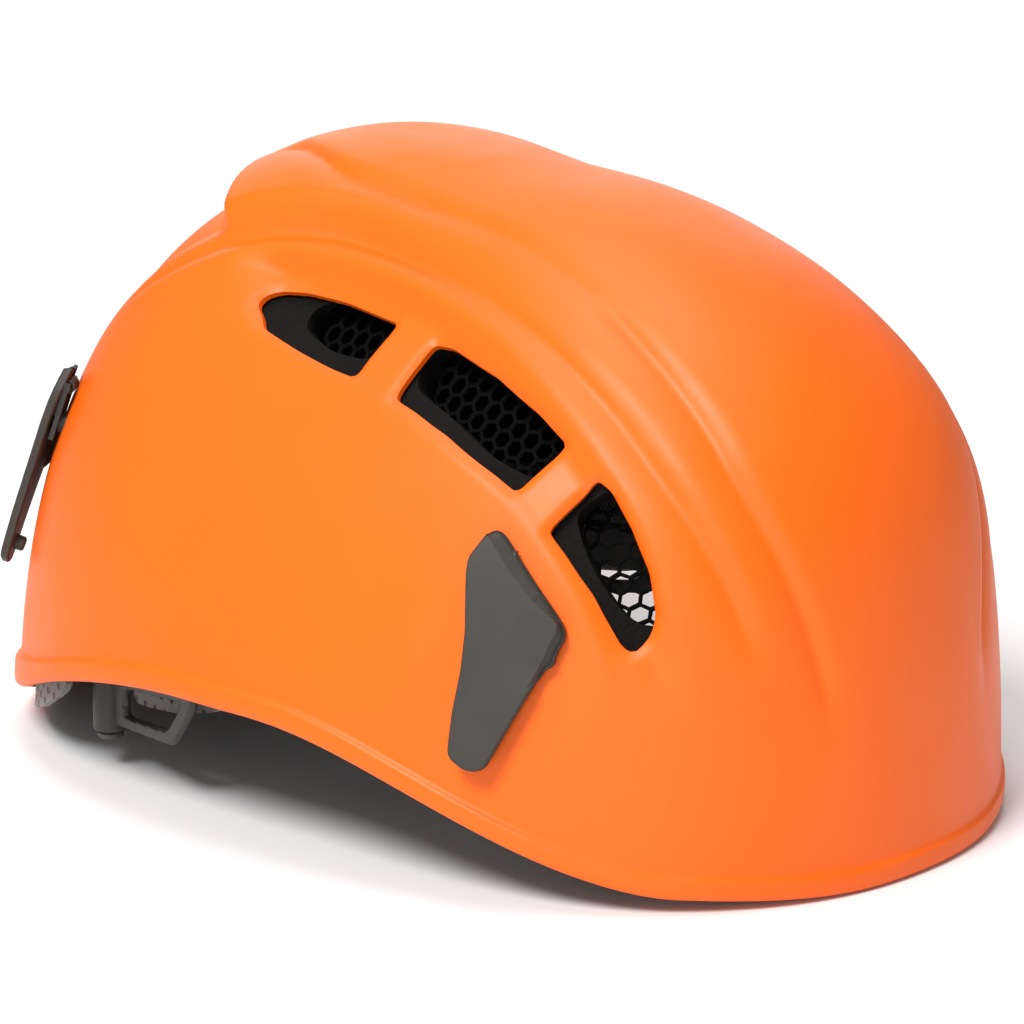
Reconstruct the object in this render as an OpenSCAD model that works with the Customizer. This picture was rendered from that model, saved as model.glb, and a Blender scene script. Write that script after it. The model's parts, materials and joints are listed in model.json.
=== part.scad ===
// Climbing helmet: hard outer shell, foam liner, headband with a dial, stowed chin strap and
// four headlamp clips. +X is the front, +Y the wearer's left, +Z up, and the origin lies on the
// surface that the rim stands on, below the middle of the helmet.

/* [Shell] */
// Length from the widest section to the front wall
front_len = 132; // [126:1:138]
// Length from the widest section to the rear wall
rear_len = 138; // [132:1:144]
// Half width of the shell wall at its base
half_w = 108; // [104:1:112]
// Height of the plain dome above its base plane
dome_h = 160; // [154:1:166]
// Wall thickness of the shell
wall = 3; // [2.5:0.1:3.5]
// Height of the arch that the rim makes over each ear
rim_arch = 34.6; // [30:0.2:40]
// How far the rim bead stands out from the wall
bead = 2.5; // [1:0.1:3.5]
// Depth of the channel that holds the vents
channel_depth = 4; // [2:0.2:4.6]

/* [Liner and pads] */
// Depth of the liner's inner face below the plain dome
liner_depth = 15; // [14:0.5:15.5]
// Depth of the headband's outer face below the plain dome
band_depth = 21.5; // [21:0.1:22]
// Thickness of the headband strip
band_t = 1.6; // [1.2:0.1:1.8]

/* [Headlamp clips] */
// Stand-off of a clip's plate from the shell
clip_lift = 4.2; // [4.2:0.1:4.6]
// Thickness of a clip's plate
clip_t = 2.4; // [2:0.1:2.6]
// Radius of a clip's hinge pin
clip_pin_r = 1.2; // [1:0.1:1.3]

/* [Size dial] */
// Radius of the dial knob
knob_r = 15; // [13:0.5:16]

/* [Strap guides] */
// Radius of the pin that a strap guide swings on
guide_pin_r = 2.5; // [2:0.1:2.6]
// Length of a strap guide from its pin to its far end
guide_len = 45; // [42:1:46]

/* [Hidden] */

// Plain dome: superellipse plan, and a profile whose fullness changes round the plan
mid_x = 3;
base_z = -3;
plan_n = 2.19;
front_n = 2.69;
rear_n = 2.73;
side_n = 1.88;
plan_taper = 0.07;
crown_s = 0.985;
gap = 0.4;
run_fit = 0.05;

function smooth(a, b, v) = let (t = min(1, max(0, (v - a) / (b - a)))) t * t * (3 - 2 * t);
function spow(v, e) = sign(v) * pow(abs(v), e);
function fold(th) = abs(th) > 180 ? 360 - abs(th) : abs(th);
function unit(v) = v / norm(v);

// Rim height round the plan: th is 0 at the front and 180 at the rear
function rim_z(th) = let (u = fold(th))
    (4 * smooth(8, 50, u) + (rim_arch - 4) * smooth(37, 90, u)) * (1 - smooth(93, 165, u));

function profile_n(th) = let (w = pow(cos(th), 2))
    (cos(th) > 0 ? front_n : rear_n) * w + side_n * (1 - w);

// Point of the plain dome at plan angle th and profile angle t
function dome_t(th, t) = let (
    cx = spow(cos(th), 2 / plan_n),
    sy = spow(sin(th), 2 / plan_n),
    r = pow(cos(t), 2 / profile_n(th)))
    [mid_x + (cos(th) > 0 ? front_len : rear_len) * cx * r,
     half_w * sy * r * (1 - plan_taper * cx * r),
     base_z + dome_h * pow(sin(t), 2 / profile_n(th))];
function t_at_z(th, z) = asin(pow(max(0, z - base_z) / dome_h, profile_n(th) / 2));

// Outward normal of the plain dome
function dome_normal(th, t) = let (
    a = dome_t(th + 0.2, t) - dome_t(th - 0.2, t),
    b = dome_t(th, t + 0.2) - dome_t(th, t - 0.2))
    unit(cross(a, b));

// Relief of the shell: xi runs over the crown from rear to front, and ay is the distance from
// the middle plane. The crown panel, the channel and the ridge over it follow curves ay(xi).
function panel_edge(xi) =
    13 + 18.5 * smooth(-40, -18, xi) + 12 * smooth(-10, 50, xi) - 12 * smooth(60, 100, xi);
function ridge_edge(xi) =
    50.5 - 7.5 * smooth(-50, -12, xi) + 11 * smooth(-14, 52, xi) - 8 * smooth(58, 98, xi);
function wall_edge(xi) = 46.5 + 11.5 * smooth(-15, 65, xi);
function channel_edge(xi) = 73.5 - 0.0012 * pow(xi - 55, 2);
function rear_step_x(ay) = -82 + 25 * pow(ay / 52, 2);

// Height over the plain dome: a raised middle panel, a recessed vent channel on each side, a step
// down at the rear, a flattened top and a full front
function relief(p) = let (
    x = p.x - mid_x,
    ay = abs(p.y),
    xi = atan2(x, p.z - base_z - 60),
    panel = 0.6 * (1 - smooth(-3, 3, ay - panel_edge(xi))) * smooth(-45, -30, xi) * (1 - smooth(88, 101, xi)),
    channel = -channel_depth * smooth(1, 8, ay - wall_edge(xi)) * (1 - smooth(-4, 0, ay - channel_edge(xi)))
        * smooth(-34, -26, xi) * (1 - smooth(85, 92, xi)),
    inside = (1 - smooth(-9, -1, ay - ridge_edge(xi))) * smooth(-75, -62, xi),
    step = smooth(-2, 5, x - rear_step_x(ay)),
    hump = 3.3 * smooth(0, 5, x - rear_step_x(ay)) * (1 - smooth(-20, 70, x)),
    flat = 3.6 * smooth(103, 155, p.z) * smooth(-63, -11, x),
    brow = 3.6 * exp(-pow((x - 112) / 28, 2) - pow((p.z - 95) / 35, 2)),
    front = 1 - smooth(-30, 20, x))
    panel + channel + inside * (front * (-2 + 4 * step) + hump) - flat + brow;

// Point of the shell's outer face pushed out by off
function skin(th, t, off) = let (p = dome_t(th, t)) p + dome_normal(th, t) * (relief(p) + off);
function plain(th, t, off) = dome_t(th, t) + dome_normal(th, t) * off;

// Closed solid through rings of points, with a cap on the first and the last ring
module rings(rows) {
    n = len(rows[0]);
    m = len(rows);
    walls = [for (j = [0:m - 2], i = [0:n - 1]) let (k = (i + 1) % n)
        each [[j * n + i, j * n + k, (j + 1) * n + k], [j * n + i, (j + 1) * n + k, (j + 1) * n + i]]];
    caps = [[for (i = [n - 1:-1:0]) i], [for (i = [0:n - 1]) (m - 1) * n + i]];
    polyhedron(points = [for (r = rows) each r], faces = concat(walls, caps), convexity = 6);
}

// Double-walled dome: outer rows, then inner rows, from the edge up to a small cap at the crown
module dome_shell(outer, inner) {
    n = len(outer[0]);
    mo = len(outer);
    rows = concat([for (j = [len(inner) - 1:-1:0]) inner[j]], outer);
    m = len(rows);
    walls = [for (j = [0:m - 2], i = [0:n - 1]) let (k = (i + 1) % n)
        each [[j * n + i, (j + 1) * n + k, j * n + k], [j * n + i, (j + 1) * n + i, (j + 1) * n + k]]];
    caps = [[for (i = [0:n - 1]) i], [for (i = [n - 1:-1:0]) (m - 1) * n + i]];
    polyhedron(points = [for (r = rows) each r], faces = concat(walls, caps), convexity = 8);
}

azimuths = [for (i = [0:71]) i * 5];
crown_rows = 15;
function row_t(th, z0, j) = let (t0 = t_at_z(th, z0)) t0 + (90 - t0) * crown_s * j / crown_rows;

// Rim section: height above the rim edge, and offset from the wall as a share of the bead
rim_section = [[0, 0.1], [0.9, 0.75], [2.5, 1], [4.5, 0.75], [6.5, 0.2]];
rim_top = 9;

// Height of the liner's lower edge over the rim
function liner_lift(th) = let (u = fold(th))
    16 * (1 - smooth(25, 60, u)) - 0.7 * smooth(25, 60, u) + 18 * smooth(97, 115, u)
    + 32 * smooth(130, 155, u);

// Vents and liner windows, as outlines in the side view
vents = [
    [[-34, 124], [-34, 126], [-31, 127], [-24, 127.5], [-11, 127], [8, 125], [8, 114], [0, 115], [-12, 117],
        [-27, 120]],
    [[22, 122.5], [28, 122.5], [44.5, 118.5], [60, 112.5], [70, 107], [63.5, 96], [56.5, 99.5], [41, 106],
        [30, 109.5], [22, 111.5]],
    [[80, 100.5], [84.5, 98.5], [91.5, 90.5], [97.5, 81], [100, 71.5], [99.5, 66.5], [97.5, 62], [95, 63.5],
        [87, 75], [79, 83.5], [73.5, 88.5]]];
windows = [
    [[-21, 119], [-16, 121.5], [0, 122], [6, 120], [6, 110.5], [-6, 110.5], [-19, 114]],
    [[20, 116], [28, 118], [46, 113.5], [60, 107.5], [66, 102], [62, 93], [50, 96.5], [36, 103], [22, 107.5]],
    [[71, 88], [80, 95.5], [90, 88], [95, 78], [98, 68], [94, 64.5], [88, 64.5], [82, 71], [76, 79]]];

module side_cut(outline, y0, y1) {
    translate([0, y1, 0]) rotate([90, 0, 0]) linear_extrude(y1 - y0) polygon(outline);
}

module shell() {
    color("darkorange") difference() {
        dome_shell(
            concat([for (r = rim_section) [for (th = azimuths)
                skin(th, t_at_z(th, rim_z(th) + r[0]), bead * r[1])]],
                [for (j = [0:crown_rows]) [for (th = azimuths)
                    skin(th, row_t(th, rim_z(th) + rim_top, j), 0)]]),
            concat([[for (th = azimuths) skin(th, t_at_z(th, rim_z(th)), -wall)]],
                [for (j = [0:crown_rows]) [for (th = azimuths)
                    skin(th, row_t(th, rim_z(th) + rim_top, j), -wall)]]));
        for (side = [0, 1]) on_side(side) {
            for (v = vents) side_cut(v, -100, -35);
            for (c = [front_clip, rear_clip]) clip_frame(c) translate([0, peg_v, -12])
                cylinder(r = clip_peg_r + run_fit, h = 18, $fn = 48);
        }
    }
}

// Rows of the liner follow the shell's rows, but start at the liner's own lower edge
function liner_t(th, j) = max(row_t(th, rim_z(th) + rim_top, j),
    t_at_z(th, rim_z(th) + liner_lift(th)) + 0.2 * j);

liner_gap = 2.9;
module foam_liner() {
    color("dimgray") difference() {
        dome_shell(
            [for (j = [0:crown_rows]) [for (th = azimuths) skin(th, liner_t(th, j), -wall - liner_gap)]],
            [for (j = [0:crown_rows]) [for (th = azimuths) plain(th, liner_t(th, j), -liner_depth)]]);
        for (side = [0, 1]) on_side(side) {
            for (w = windows) side_cut(w, -100, -30);
            for (th = anchor_th) anchor_frame(th) cylinder(r = anchor_r + gap, h = 30, $fn = 48);
        }
    }
}

// Curved slab that follows the right side of the plain dome between depths d0 and d1 below it.
// Each station is [plan angle, lower height, upper height] of the dome's surface over the slab.
module slab(stations, d0, d1, steps = 10, layers = 3) {
    low = [for (s = stations) [s[0], s[1]]];
    high = [for (s = stations) [s[0], s[2]]];
    first = stations[0][0];
    last = stations[len(stations) - 1][0];
    rings([for (i = [0:steps]) let (
        th = first + (last - first) * i / steps,
        z0 = lookup(th, low),
        dz = (lookup(th, high) - z0) / layers)
        concat([for (j = [0:layers]) plain(th, t_at_z(th, z0 + dz * j), -d0)],
            [for (j = [layers:-1:0]) plain(th, t_at_z(th, z0 + dz * j), -d1)])]);
}

// The wearer's right side is drawn, and side = 1 mirrors it to the left
module on_side(side) {
    mirror([0, side, 0]) children();
}

module vent_mesh(side) {
    color("black") on_side(side) slab(
        [[-114, 124, 138], [-98, 120, 138], [-83, 118, 136], [-68, 111, 130], [-55, 97, 122],
            [-46, 74, 114], [-38, 60, 101], [-30, 58, 86]],
        liner_depth + 0.6, liner_depth + 1.6, 20, 2);
}
module vent_mesh_right() {
    vent_mesh(0);
}
module vent_mesh_left() {
    vent_mesh(1);
}

// Headlamp clips: each lies in its own plane, x to the front, y up and z out of the shell.
// A clip frame is [centre, azimuth of the normal, elevation of the normal].
front_clip = [[67, -84, 59], -66, 15.8];
rear_clip = [[-103, -65, 68], -145, 18];
clip_peg_r = 3;
peg_v = 14;
pin_v = 24;
pin_lift = 2.9;
knuckle_r = 2;
knuckle_w = 6;
knuckle_u = 0.5;
clip_outline = [[-2, 29], [0, 30], [2, 29], [10, 19.3], [17, 11.2], [19, 8.5], [19.3, 6], [17.6, 2.4],
    [17, -0.8], [15.2, -1.6], [9, -13.8], [3, -26], [1, -27.3], [-2.3, -27.2], [-5.8, -25],
    [-6.6, -23.2], [-6.2, -13.8], [-5, -4], [-4.8, 5.4], [-5.6, 15], [-6, 19.5], [-5.8, 23]];

module clip_frame(c) {
    translate(c[0]) rotate([0, 0, c[1]]) rotate([0, 90 - c[2], 0]) rotate([0, 0, 90]) children();
}
module along_u(u, r, length) {
    translate([u - length / 2, pin_v, pin_lift]) rotate([0, 90, 0]) cylinder(r = r, h = length, $fn = 48);
}

module clip_plate() {
    difference() {
        union() {
            translate([0, 0, clip_lift]) linear_extrude(clip_t) polygon(clip_outline);
            along_u(knuckle_u, knuckle_r, knuckle_w);
            translate([knuckle_u - knuckle_w / 2, pin_v - knuckle_r, pin_lift])
                cube([knuckle_w, 2 * knuckle_r, clip_lift + 1 - pin_lift]);
            translate([-1.5, -21, 1]) cylinder(r = 2, h = clip_lift, $fn = 48);
        }
        along_u(knuckle_u, clip_pin_r + run_fit, 30);
    }
}
// Snap-in mount of a clip: a peg through the shell, a foot, and two ears that hold the hinge pin
module clip_mount() {
    ear_t = 1.5;
    ear_u = knuckle_w / 2 + gap;
    foot_z = 2.1;
    foot_t = 1.3;
    union() {
        translate([knuckle_u - ear_u - ear_t, 9.5, foot_z]) cube([2 * (ear_u + ear_t), 11.5, foot_t]);
        for (u = [-ear_u - ear_t, ear_u])
            translate([knuckle_u + u, 16, foot_z]) cube([ear_t, pin_v - 16 + 1.4, 1.6]);
        translate([0, peg_v, -2.2]) cylinder(r = clip_peg_r, h = foot_z + 2.4, $fn = 48);
        along_u(knuckle_u, clip_pin_r, 2 * (ear_u + ear_t));
    }
}

module front_clip_right() {
    color("#494642") clip_frame(front_clip) clip_plate();
}
module front_clip_left() {
    mirror([0, 1, 0]) front_clip_right();
}
module rear_clip_right() {
    color("#494642") clip_frame(rear_clip) mirror([1, 0, 0]) clip_plate();
}
module rear_clip_left() {
    mirror([0, 1, 0]) rear_clip_right();
}
module front_clip_mount_right() {
    color("#33312e") clip_frame(front_clip) clip_mount();
}
module front_clip_mount_left() {
    mirror([0, 1, 0]) front_clip_mount_right();
}
module rear_clip_mount_right() {
    color("#33312e") clip_frame(rear_clip) mirror([1, 0, 0]) clip_mount();
}
module rear_clip_mount_left() {
    mirror([0, 1, 0]) rear_clip_mount_right();
}

// Headband: a front strip, and an arm on each side that runs back to the size racks
arm_depth = band_depth + band_t + gap;
module headband_front() {
    color("#53504b") slab([[-97, 30, 44], [-60, 30, 46], [0, 22, 46], [60, 30, 46], [97, 30, 44]],
        band_depth, band_depth + band_t, 28, 2);
}
module headband_arm(side) {
    color("#53504b") on_side(side) {
        slab([[-156, 17, 28], [-135, 22, 36], [-115, 29, 42], [-86, 31, 43]],
            arm_depth, arm_depth + band_t, 14, 2);
        translate([guide_x, guide_y, 0]) {
            translate([0, 0, 8.6]) cylinder(r = guide_pin_r, h = 24, $fn = 48);
            translate([0, 0, 8.6]) cylinder(r = guide_pin_r + 0.9, h = 1.5, $fn = 48);
            rotate([0, 0, 35]) translate([-4, -2.5, 27]) cube([8, 14, 6]);
        }
    }
}
module headband_arm_right() {
    headband_arm(0);
}
module headband_arm_left() {
    headband_arm(1);
}
module temple_rivets() {
    color("#33312e") for (side = [0, 1]) on_side(side)
        translate([mid_x + 4, -84.5, 37]) rotate([-82, 0, 0]) cylinder(r = 3, h = 6.5, $fn = 48);
}

// Strap guide: a sleeve on the arm's pin, and an open frame that the rear webbing passes through
guide_x = -64;
guide_y = -82.5;
guide_turn = -15.5;
guide_t = 2.6;
module strap_guide(side) {
    color("#53504b") on_side(side) translate([guide_x, guide_y, 0]) difference() {
        union() {
            translate([0, 0, 10.5]) cylinder(r = guide_pin_r + 2, h = 16, $fn = 48);
            rotate([0, 0, guide_turn]) translate([0, guide_t / 2, 0]) rotate([90, 0, 0])
                linear_extrude(guide_t)
                difference() {
                    polygon([[2, 12.5], [34.5, 15.5], [guide_len - 0.5, 28], [guide_len, 32.5], [2, 26.4]]);
                    polygon([[9.5, 16.6], [31.5, 19], [39.5, 28.6], [9.5, 23.8]]);
                }
        }
        translate([0, 0, 5]) cylinder(r = guide_pin_r + run_fit, h = 30, $fn = 48);
    }
}
module strap_guide_right() {
    strap_guide(0);
}
module strap_guide_left() {
    strap_guide(1);
}

// Size dial at the nape: the knob turns a pinion, which draws the two racks together
dial_z = 27;
dial_x = -109;
pinion_r = 5;
pinion_teeth = 10;
rack_t = 2.4;
tooth_h = 0.8;
tooth_pitch = 2 * PI * pinion_r / pinion_teeth;
housing_w = 54;
housing_h = 26;
housing_back = 5;
channel_h = 20.4;
channel_t = 3.2;
rack_len = 60;
rack_h = 3.9;
module dial_housing() {
    color("#33312e") difference() {
        translate([dial_x - housing_back, -housing_w / 2, dial_z - housing_h / 2])
            cube([housing_back + channel_t / 2, housing_w, housing_h]);
        translate([dial_x - channel_t / 2, -housing_w, dial_z - channel_h / 2])
            cube([channel_t + 5, 2 * housing_w, channel_h]);
        translate([dial_x - 20, 0, dial_z]) rotate([0, 90, 0]) cylinder(r = 2.5 + run_fit, h = 30, $fn = 48);
    }
}
module dial_cover() {
    color("#33312e") difference() {
        translate([dial_x + channel_t / 2 + run_fit, -housing_w / 2, dial_z - housing_h / 2])
            cube([1.8, housing_w, housing_h]);
        translate([dial_x - 20, 0, dial_z]) rotate([0, 90, 0]) cylinder(r = 1.5 + run_fit, h = 40, $fn = 48);
    }
}
module dial_knob() {
    grip_count = 16;
    back = dial_x - housing_back - gap - 8;
    color("#53504b") translate([back, 0, dial_z]) rotate([0, 90, 0]) difference() {
        cylinder(r = knob_r, h = 8, $fn = 96);
        for (i = [0:grip_count - 1]) rotate([0, 0, i * 360 / grip_count])
            translate([knob_r + 0.6, 0, -1]) cylinder(r = 1.6, h = 10, $fn = 24);
        translate([0, 0, 4]) cylinder(r = 2.5, h = 10, $fn = 48);
    }
}
module dial_pinion() {
    back = dial_x - housing_back - gap - 4;
    color("#33312e") translate([0, 0, dial_z]) rotate([0, 90, 0]) {
        translate([0, 0, back]) cylinder(r = 2.5, h = dial_x - 1.3 - back, $fn = 48);
        translate([0, 0, dial_x - 1.3]) linear_extrude(2.6) union() {
            circle(r = pinion_r - tooth_h - 0.3, $fn = 48);
            for (i = [0:pinion_teeth - 1]) rotate([0, 0, i * 360 / pinion_teeth])
                polygon([[pinion_r - 2, -0.9], [pinion_r + tooth_h, -0.3],
                    [pinion_r + tooth_h, 0.3], [pinion_r - 2, 0.9]]);
        }
        translate([0, 0, dial_x + 1.2]) cylinder(r = 1.5, h = 2.2, $fn = 48);
    }
}
// Rack whose teeth reach the pinion from below; the left one is the same part turned over
module size_rack() {
    bar_x1 = 16;
    bar_x0 = bar_x1 - rack_len;
    bar_top = -pinion_r - tooth_h - 0.1;
    tooth_tip = -pinion_r + tooth_h;
    teeth = [for (i = [4:-1:-5]) let (c = (i + 0.5) * tooth_pitch)
        each [[c + 0.85, bar_top], [c + 0.3, tooth_tip], [c - 0.3, tooth_tip], [c - 0.85, bar_top]]];
    color("#53504b") translate([dial_x - rack_t / 2, 0, dial_z]) rotate([90, 0, 90])
        linear_extrude(rack_t) polygon(concat(
            [[bar_x1, bar_top], [bar_x1, bar_top - rack_h], [bar_x0, bar_top - rack_h], [bar_x0, bar_top]],
            [for (i = [len(teeth) - 1:-1:0]) teeth[i]]));
}
module size_rack_right() {
    size_rack();
}
module size_rack_left() {
    translate([0, 0, 2 * dial_z]) rotate([180, 0, 0]) size_rack();
}

// Straps that hang the dial from the liner and set its height
module height_straps() {
    color("#33312e") for (side = [0, 1]) on_side(side)
        slab([[-172, 44, 84], [-166, 44, 84]], 18, 19.4, 2, 4);
}

// Pads
module nape_pad() {
    pad_x = dial_x + 4;
    color("#625e55") translate([0, 0, dial_z - 15]) linear_extrude(28)
        polygon(concat([[pad_x, -30], [pad_x, 30]],
            [for (i = [10:-1:-10]) [pad_x + 6.5 - 0.0045 * pow(3 * i, 2), 3 * i]]));
}
module rear_pad(side) {
    color("#625e55") on_side(side) slab(
        [[-152, 2.5, 20], [-144, 4, 24], [-134, 11, 30], [-126, 17.5, 34], [-119, 24.5, 37]],
        wall + 1, wall + 5, 12, 3);
}
module rear_pad_right() {
    rear_pad(0);
}
module rear_pad_left() {
    rear_pad(1);
}
module side_pad(side) {
    color("#625e55") on_side(side) slab(
        [[-115, 27, 50], [-105, 29, 52], [-97, 33, 52]], 17.2, 21, 8, 3);
}
module side_pad_right() {
    side_pad(0);
}
module side_pad_left() {
    side_pad(1);
}
module brow_pad() {
    color("#625e55") slab([[-62, 31, 45], [-40, 25, 48], [0, 22, 50], [40, 25, 48], [62, 31, 45]],
        band_depth + band_t + gap, band_depth + band_t + 7, 18, 2);
}
// Pad that runs over the crown in the middle plane
module crown_pad_centre() {
    outer = [for (t = [56:4:88]) plain(0, t, -17.4)];
    outer_back = [for (t = [88:-4:58]) plain(180, t, -17.4)];
    inner_back = [for (t = [58:4:88]) plain(180, t, -21.4)];
    inner = [for (t = [88:-4:56]) plain(0, t, -21.4)];
    color("#625e55") translate([0, 13, 0]) rotate([90, 0, 0]) linear_extrude(26)
        polygon([for (p = concat(outer, outer_back, inner_back, inner)) [p.x, p.z]]);
}
module crown_pad(side) {
    color("#625e55") on_side(side)
        slab([[-140, 141, 150], [-110, 144, 152], [-70, 144, 152], [-42, 141, 150]],
            liner_depth + gap, 19.4, 12, 2);
}
module crown_pad_right() {
    crown_pad(0);
}
module crown_pad_left() {
    crown_pad(1);
}

// Chin strap, stowed inside the helmet: a front and a rear branch on each side meet at a divider,
// and the two halves of the chin strap lie under the crown with their buckle closed
web_t = 1.4;
web_depth = 27;
web_w = 18;
arch_depth = 23;
divider_z = 53;
anchor_th = [-67, -121];
anchor_r = 2.5;
// Frame of an anchor: its z axis runs outwards, from the head of the anchor towards the shell
module anchor_frame(th) {
    t = t_at_z(th, 57);
    n = dome_normal(th, t);
    translate(plain(th, t, -web_depth - web_t - 2)) rotate([0, acos(n.z), atan2(n.y, n.x)]) children();
}
module strap_anchors() {
    color("#33312e") for (side = [0, 1]) on_side(side) for (th = anchor_th) anchor_frame(th) {
        cylinder(r = 6, h = 1.6, $fn = 48);
        translate([0, 0, 1.2]) cylinder(r = anchor_r, h = web_depth - wall - 1.2, $fn = 48);
    }
}
module strap_front(side) {
    color("#2a2927") on_side(side)
        slab([[-81.5, 50, 62], [-63.5, 51, 63]], web_depth, web_depth + web_t, 5, 2);
}
module strap_front_right() {
    strap_front(0);
}
module strap_front_left() {
    strap_front(1);
}
module strap_rear(side) {
    color("#2a2927") on_side(side)
        slab([[-124.5, 51, 63], [-98.5, 50, 62]], web_depth, web_depth + web_t, 6, 2);
}
module strap_rear_right() {
    strap_rear(0);
}
module strap_rear_left() {
    strap_rear(1);
}
module strap_divider(side) {
    t = t_at_z(-90, divider_z + 3);
    n = dome_normal(-90, t);
    color("#33312e") on_side(side) translate(plain(-90, t, -web_depth - web_t / 2))
        rotate([0, acos(n.z), atan2(n.y, n.x)]) difference() {
            cube([23, 30, 4.2], center = true);
            for (v = [-11.5, 11.5]) translate([1, v, 0]) cube([14, 2.6, 10], center = true);
            translate([-8.2, 0, 0]) cube([2.6, 19.4, 10], center = true);
        }
}
module strap_divider_right() {
    strap_divider(0);
}
module strap_divider_left() {
    strap_divider(1);
}
module chin_strap(side) {
    steps = 12;
    t0 = t_at_z(-90, divider_z + 16);
    t1 = 66.1;
    ts = [for (i = [0:steps]) t0 + (t1 - t0) * i / steps];
    tr = [for (i = [steps:-1:0]) t0 + (t1 - t0) * i / steps];
    color("#2a2927") on_side(side) translate([mid_x - web_w / 2, 0, 0]) rotate([90, 0, 90])
        linear_extrude(web_w) polygon([for (p = concat([for (t = ts) plain(-90, t, -arch_depth)],
            [for (t = tr) plain(-90, t, -arch_depth - web_t)])) [p.y, p.z]]);
}
module chin_strap_right() {
    chin_strap(0);
}
module chin_strap_left() {
    chin_strap(1);
}

// Buckle: the plug's tongue lies in the socket, and a sprung button in the socket releases it
buckle_z = 123.5;
buckle_w = 24;
buckle_end = 27;
buckle_h = 9.6;
buckle_wall = 1.8;
button_y = 12;
button_w = 9;
module buckle_block(y0, y1, w, h) {
    translate([mid_x - w / 2, y0, buckle_z - h / 2]) cube([w, y1 - y0, h]);
}
module buckle_socket() {
    inner_w = buckle_w - 2 * buckle_wall;
    inner_h = buckle_h - 2 * buckle_wall;
    color("#33312e") difference() {
        buckle_block(-1, buckle_end, buckle_w, buckle_h);
        buckle_block(-2, 20.5, inner_w, inner_h);
        buckle_block(23, 24.6, web_w + 1, buckle_h + 2);
        translate([mid_x - button_w / 2 - gap / 2, button_y - button_w / 2 - gap / 2, buckle_z - buckle_h])
            cube([button_w + gap, button_w + gap, buckle_h]);
    }
}
module buckle_plug() {
    color("#33312e") union() {
        difference() {
            buckle_block(-buckle_end, -1.4, buckle_w, 6.4);
            buckle_block(-24.6, -23, web_w + 1, buckle_h + 2);
        }
        difference() {
            buckle_block(-2, 19.5, 19, 3);
            buckle_block(5, 18, 13, 10);
        }
    }
}
module buckle_button() {
    low = buckle_z - buckle_h / 2;
    color("#53504b") {
        translate([mid_x - button_w / 2, button_y - button_w / 2, low - 0.8])
            cube([button_w, button_w, 4.2]);
        translate([mid_x - button_w / 2 - 1, button_y - button_w / 2 - 1, low + buckle_wall + 0.2])
            cube([button_w + 2, button_w + 2, 1.2]);
    }
}

shell();
foam_liner();
vent_mesh_right();
vent_mesh_left();
front_clip_right();
front_clip_left();
rear_clip_right();
rear_clip_left();
front_clip_mount_right();
front_clip_mount_left();
rear_clip_mount_right();
rear_clip_mount_left();
headband_front();
temple_rivets();
headband_arm_right();
headband_arm_left();
strap_guide_right();
strap_guide_left();
dial_housing();
dial_cover();
dial_knob();
dial_pinion();
size_rack_right();
size_rack_left();
height_straps();
nape_pad();
rear_pad_right();
rear_pad_left();
side_pad_right();
side_pad_left();
brow_pad();
crown_pad_centre();
crown_pad_right();
crown_pad_left();
strap_anchors();
strap_front_right();
strap_front_left();
strap_rear_right();
strap_rear_left();
strap_divider_right();
strap_divider_left();
chin_strap_right();
chin_strap_left();
buckle_plug();
buckle_socket();
buckle_button();
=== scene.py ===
"""Looks of a climbing helmet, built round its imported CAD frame. Lengths are in millimetres until a
mesh is made, and angles in degrees. +X is the front, +Y the wearer's left and +Z up."""

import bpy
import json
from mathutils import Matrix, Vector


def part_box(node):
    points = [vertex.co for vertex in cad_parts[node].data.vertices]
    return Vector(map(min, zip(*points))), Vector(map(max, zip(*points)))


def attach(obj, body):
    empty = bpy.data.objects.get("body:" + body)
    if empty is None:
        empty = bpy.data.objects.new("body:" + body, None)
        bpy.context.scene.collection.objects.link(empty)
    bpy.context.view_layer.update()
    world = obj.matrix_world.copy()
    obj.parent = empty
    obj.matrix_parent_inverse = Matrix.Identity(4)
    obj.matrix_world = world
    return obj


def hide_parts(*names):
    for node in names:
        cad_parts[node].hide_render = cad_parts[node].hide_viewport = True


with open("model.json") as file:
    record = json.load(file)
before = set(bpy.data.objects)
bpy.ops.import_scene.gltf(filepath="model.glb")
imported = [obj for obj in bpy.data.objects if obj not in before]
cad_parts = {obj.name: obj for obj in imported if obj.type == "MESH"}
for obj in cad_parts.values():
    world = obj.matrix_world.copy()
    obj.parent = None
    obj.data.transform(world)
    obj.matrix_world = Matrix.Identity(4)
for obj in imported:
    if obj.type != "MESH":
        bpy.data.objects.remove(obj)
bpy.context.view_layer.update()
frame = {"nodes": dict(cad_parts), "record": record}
import json
import math

import bmesh
import bpy
import numpy as np
from mathutils import Matrix, Quaternion, Vector

MM = 0.001
SIDES = ("right", "left")  # pieces are drawn on the wearer's right, where y is negative


# ---------------------------------------------------------------- the dome and its relief
MID_X, BASE_Z = 3.0, -3.0
BEAD = 2.5  # how far the CAD's rim band stands out of the dome, which the shell's box takes in
shell_low, shell_high = (np.array(corner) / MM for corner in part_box("shell"))
FRONT_LEN = shell_high[0] - BEAD - MID_X
REAR_LEN = MID_X - BEAD - shell_low[0]
HALF_W, DOME_H = 108.0, 160.0
PLAN_N, FRONT_N, REAR_N, SIDE_N = 2.19, 2.69, 2.73, 1.88  # superellipse powers
TAPER = 0.07  # how much narrower the front is than the rear
RIM_STEP, RIM_ARCH = 4.0, 34.6  # the rim's height beside the brow and over the ears
WALL = 3.0
PIVOT_H = 60  # height over the base of the axis that angles over the helmet turn about
PANEL_CREASE = (1.9, 0.5, 8.0, 5.5)  # dive, rise, and how wide each is
RIDGE_CREASE = (1.8, 0.3, 7.0, 5.0)
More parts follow.
